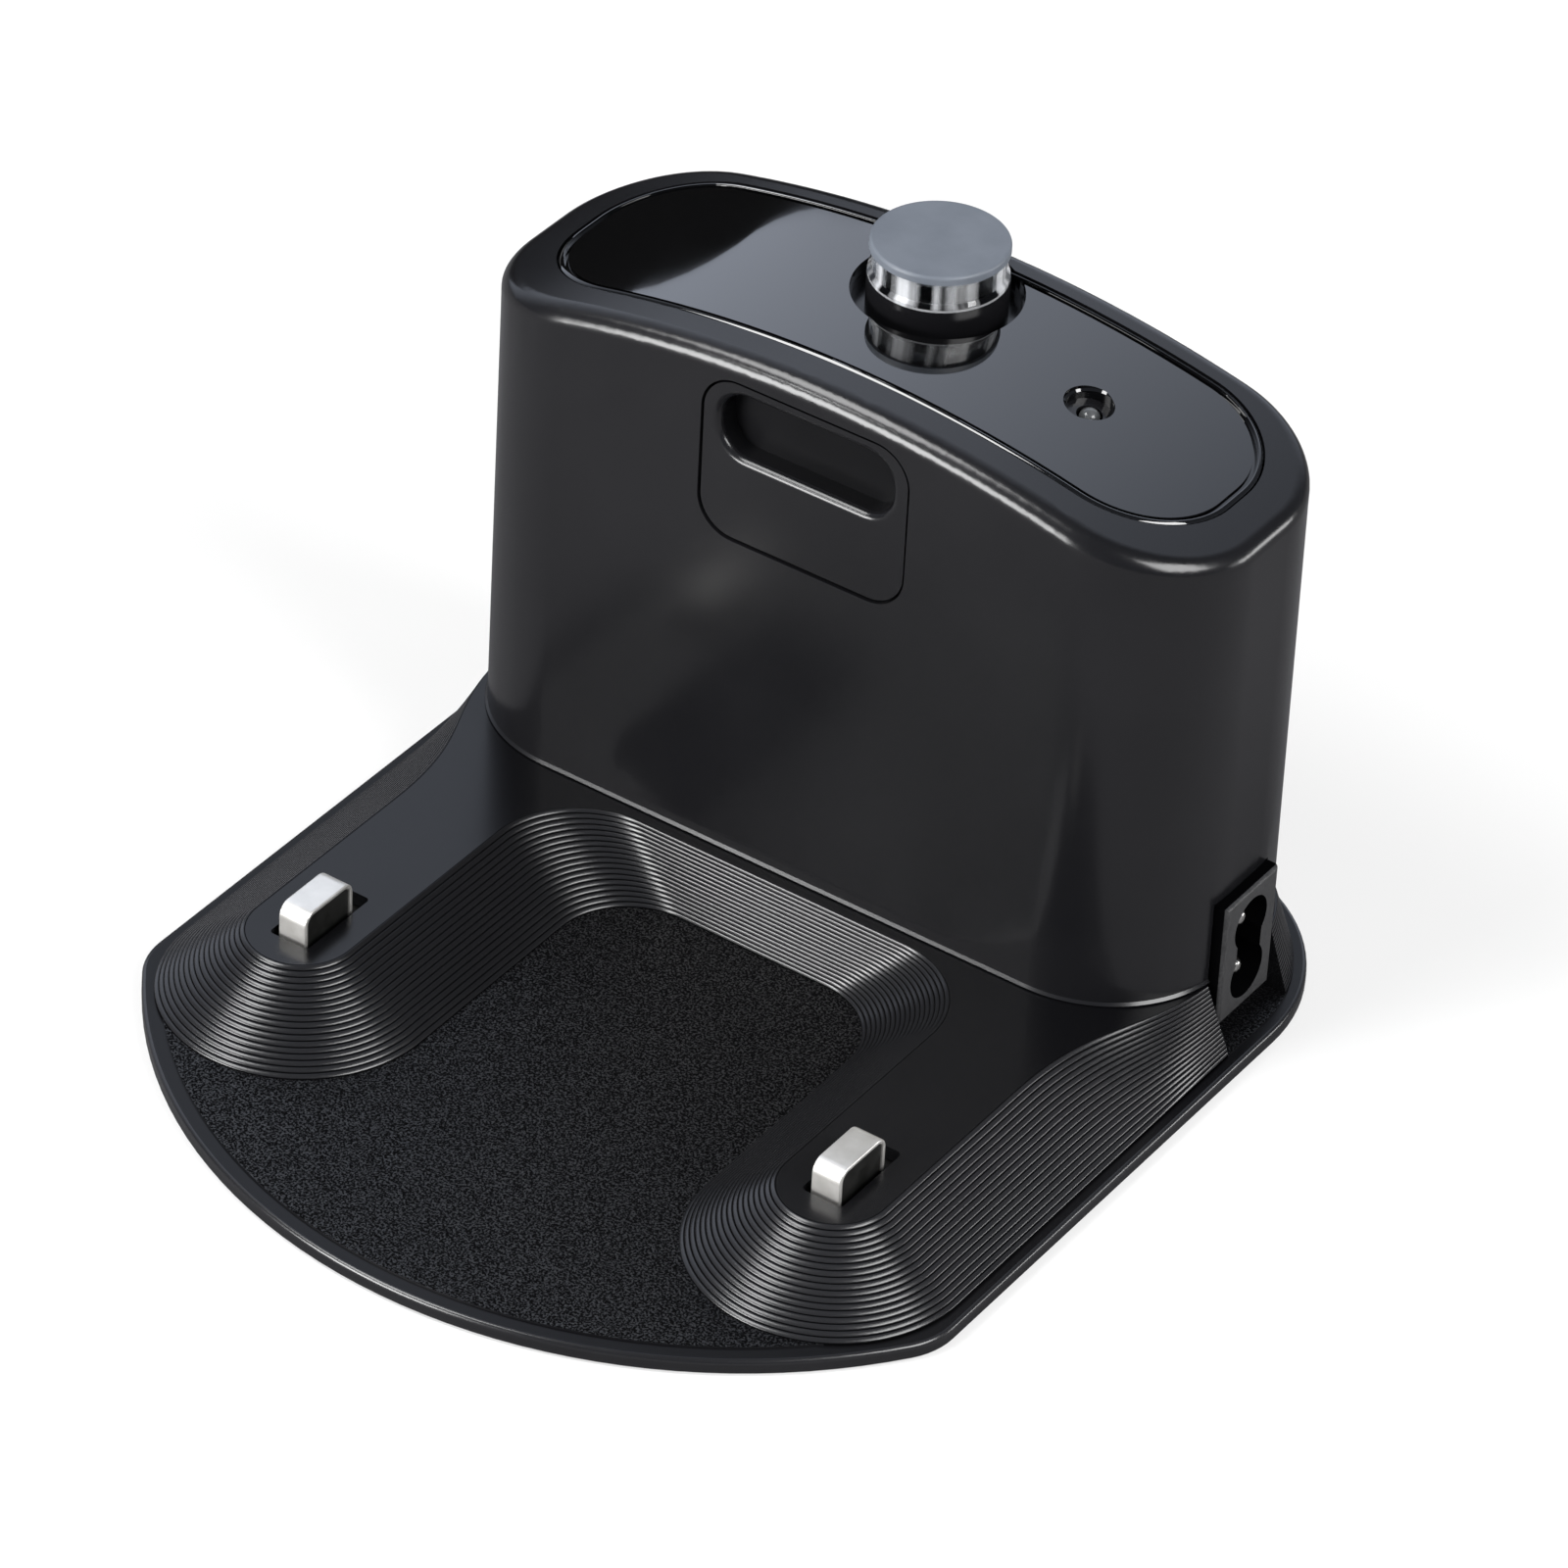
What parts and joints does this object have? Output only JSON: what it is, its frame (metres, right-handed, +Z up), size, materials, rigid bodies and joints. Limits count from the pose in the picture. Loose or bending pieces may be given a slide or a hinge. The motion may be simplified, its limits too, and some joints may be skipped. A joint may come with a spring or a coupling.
{
  "type": "robot vacuum charging dock",
  "caption": "Charging dock for a robot vacuum: arched upright tower with a beacon dome on a low base whose ribbed arms carry sprung contacts.",
  "frame": {"origin": "middle of the base's outline, on the surface that it stands on", "axes": "+X to the dock's right seen from the front, +Y from the front edge to the back, +Z up"},
  "size_m": [0.1348, 0.15, 0.1036],
  "materials": {
    "base_black": "moulded, grained on the floor",
    "shell_black": "satin moulded",
    "panel_black": "mirror gloss",
    "cap_grey": "satin",
    "lens_clear": "clear, polished",
    "reflector_grey": "smooth",
    "emitter_clear": "clear resin",
    "window_black": "satin, dark infrared filter",
    "inlet_black": "satin moulded",
    "contact_nickel": "nickel plated strip",
    "pin_nickel": "nickel plated",
    "spring_steel": "drawn wire",
    "screw_steel": "zinc plated",
    "pad_rubber": "soft pads",
    "board_green": "circuit board",
    "core_dark": "ferrite core and bobbin",
    "core_grey": "moulded block inside the contact strip",
    "can_aluminium": "sleeved can"
  },
  "bodies": {
    "dock": {"base_cover": "base_black", "tower_shell": "shell_black", "top_panel": "panel_black", "dome_cap": "cap_grey", "dome_collar": "panel_black", "dome_lens": "lens_clear", "dome_reflector": "reflector_grey", "dome_emitter": "emitter_clear", "power_led": "emitter_clear", "top_board": "board_green", "board_screws": "screw_steel", "window_panel": "window_black", "window_board": "board_green", "window_emitter": "emitter_clear", "inlet_body": "inlet_black", "inlet_pins": "pin_nickel", "contact_spring_left": "spring_steel", "contact_spring_right": "spring_steel", "bottom_cover": "base_black", "bottom_screws": "screw_steel", "tower_screws": "screw_steel", "rubber_feet": "pad_rubber", "main_board": "board_green", "transformer": "core_dark", "capacitors": "can_aluminium"},
    "left_contact": {"contact_left": "contact_nickel", "contact_core_left": "core_grey"},
    "right_contact": {"contact_right": "contact_nickel", "contact_core_right": "core_grey"}
  },
  "joints": [
    {"name": "left_contact_press", "type": "slide", "parent": "dock", "child": "left_contact", "axis": [0, 0, -1], "range_m": [0, 0.0028], "stiffness_N_per_m": 500, "springref_m": -0.002, "deforming": ["contact_spring_left"]},
    {"name": "right_contact_press", "type": "slide", "parent": "dock", "child": "right_contact", "axis": [0, 0, -1], "range_m": [0, 0.0028], "stiffness_N_per_m": 500, "springref_m": -0.002, "deforming": ["contact_spring_right"]}
  ]
}
